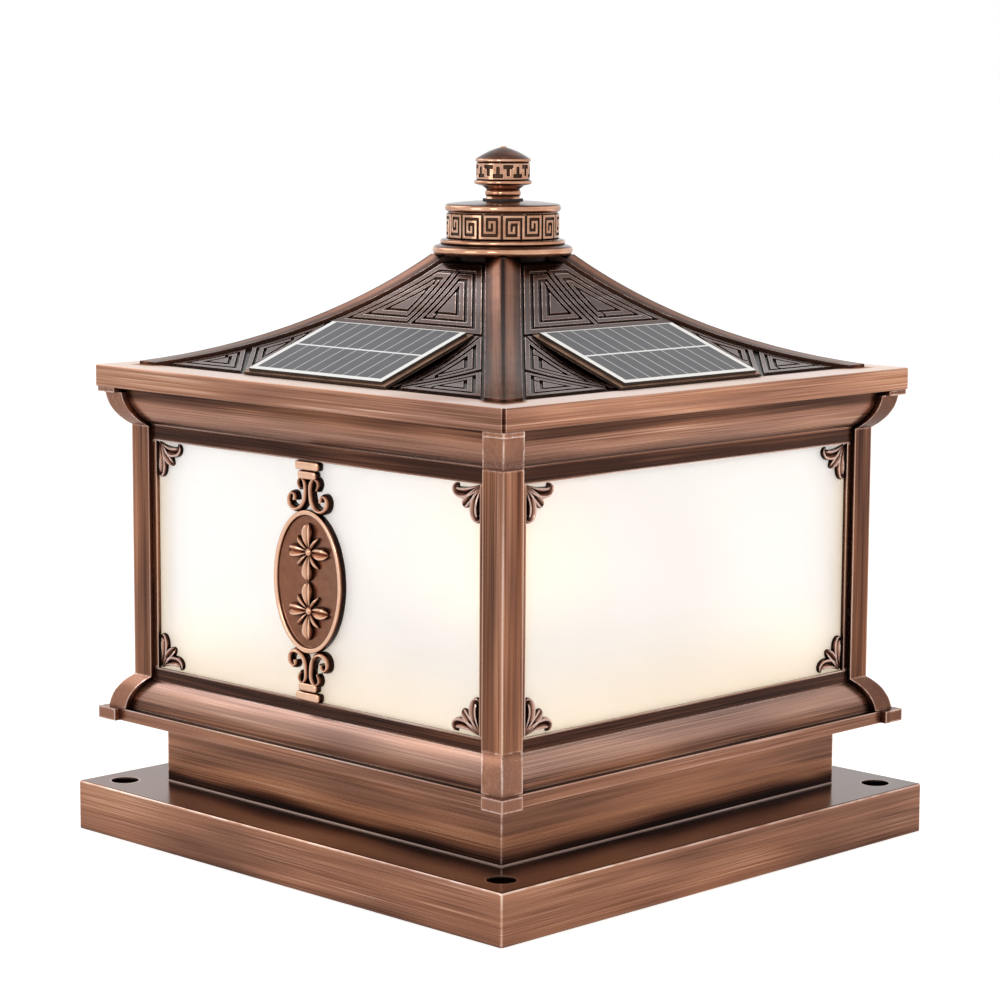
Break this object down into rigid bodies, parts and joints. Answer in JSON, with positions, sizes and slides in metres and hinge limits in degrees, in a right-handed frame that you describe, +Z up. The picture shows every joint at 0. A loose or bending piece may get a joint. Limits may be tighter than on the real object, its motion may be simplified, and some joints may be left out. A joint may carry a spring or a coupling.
{
  "type": "solar pillar lantern",
  "caption": "Square lantern for a gate pillar with frosted panes in a copper-finish cage, a lift-off pagoda roof with solar panels and a screw-on finial.",
  "frame": {"origin": "middle of the base tray's underside", "axes": "+Z up to the finial; the front, the side with the medallion that the picture shows on the left, looks along -Y; +X is the plain side that the picture shows on the right"},
  "size_m": [0.301, 0.301, 0.3434],
  "materials": {
    "copper_finish": "brushed antique copper finish on cast and extruded aluminium",
    "ornament_copper": "antique copper finish, worn bright on the high points",
    "opal_pane": "frosted warm white acrylic",
    "solar_laminate": "grey solar cells with pale grid lines under a clear face",
    "panel_tray_bronze": "bronze brown",
    "bare_aluminium": "mill finish",
    "steel": "stainless",
    "seal_rubber": "matte black",
    "opal_globe": "opal white, lit from inside",
    "circuit_board": "green board",
    "led_phosphor": "yellow phosphor",
    "cell_wrap": "blue shrink wrap",
    "black_plastic": "moulded black",
    "button_plastic": "red",
    "lead_sheath": "black sheath"
  },
  "bodies": {
    "cage": {"base_screws": "steel", "base_tray": "copper_finish", "corner_post_back_left": "copper_finish", "corner_post_back_right": "copper_finish", "corner_post_front_left": "copper_finish", "corner_post_front_right": "copper_finish", "floor_plate": "bare_aluminium", "glazing_beads": "bare_aluminium", "leaf_ornaments_back": "ornament_copper", "leaf_ornaments_front": "ornament_copper", "leaf_ornaments_left": "ornament_copper", "leaf_ornaments_right": "ornament_copper", "lower_rail_back": "copper_finish", "lower_rail_front": "copper_finish", "lower_rail_left": "copper_finish", "lower_rail_right": "copper_finish", "medallion_back": "ornament_copper", "medallion_front": "ornament_copper", "pane_back": "opal_pane", "pane_front": "opal_pane", "pane_left": "opal_pane", "pane_right": "opal_pane", "plinth_box": "copper_finish", "post_screws": "steel", "rail_screws": "steel", "roof_clips": "steel", "roof_gasket": "seal_rubber", "top_ring": "bare_aluminium", "upper_rail_back": "copper_finish", "upper_rail_front": "copper_finish", "upper_rail_left": "copper_finish", "upper_rail_right": "copper_finish"},
    "roof": {"battery_cells": "cell_wrap", "battery_holder": "black_plastic", "controller_board": "circuit_board", "controller_case": "black_plastic", "finial_collar": "copper_finish", "finial_nut": "steel", "finial_stud": "steel", "globe_diffuser": "opal_globe", "inner_leads": "lead_sheath", "lamp_stem": "bare_aluminium", "led_board": "circuit_board", "led_chips": "led_phosphor", "panel_leads": "lead_sheath", "panel_tray_back": "panel_tray_bronze", "panel_tray_front": "panel_tray_bronze", "panel_tray_left": "panel_tray_bronze", "panel_tray_right": "panel_tray_bronze", "pv_panel_back": "solar_laminate", "pv_panel_front": "solar_laminate", "pv_panel_left": "solar_laminate", "pv_panel_right": "solar_laminate", "roof_shell": "copper_finish", "switch_housing": "black_plastic", "underpan": "bare_aluminium", "underpan_screws": "steel"},
    "washer_body": {"knob_washer": "seal_rubber"},
    "knob_body": {"finial_knob": "copper_finish"},
    "button_body": {"power_button": "button_plastic"}
  },
  "joints": [
    {"name": "roof_lift", "type": "slide", "parent": "cage", "child": "roof", "axis": [0, 0, 1], "range_m": [0, 0.135]},
    {"name": "finial_rise", "type": "slide", "parent": "roof", "child": "washer_body", "axis": [0, 0, 1], "range_m": [0, 0.0076]},
    {"name": "finial_turn", "type": "hinge", "parent": "washer_body", "child": "knob_body", "pos_m": [0, 0, 0.321], "axis": [0, 0, 1], "range_deg": [0, 2160]},
    {"name": "switch_press", "type": "slide", "parent": "roof", "child": "button_body", "axis": [0, 0, 1], "range_m": [0, 0.0025], "stiffness_N_per_m": 300, "springref_m": -0.001}
  ],
  "couplings": [
    {"joint": "finial_rise", "follows": "finial_turn", "m_per_rad": 0.00019894}
  ]
}
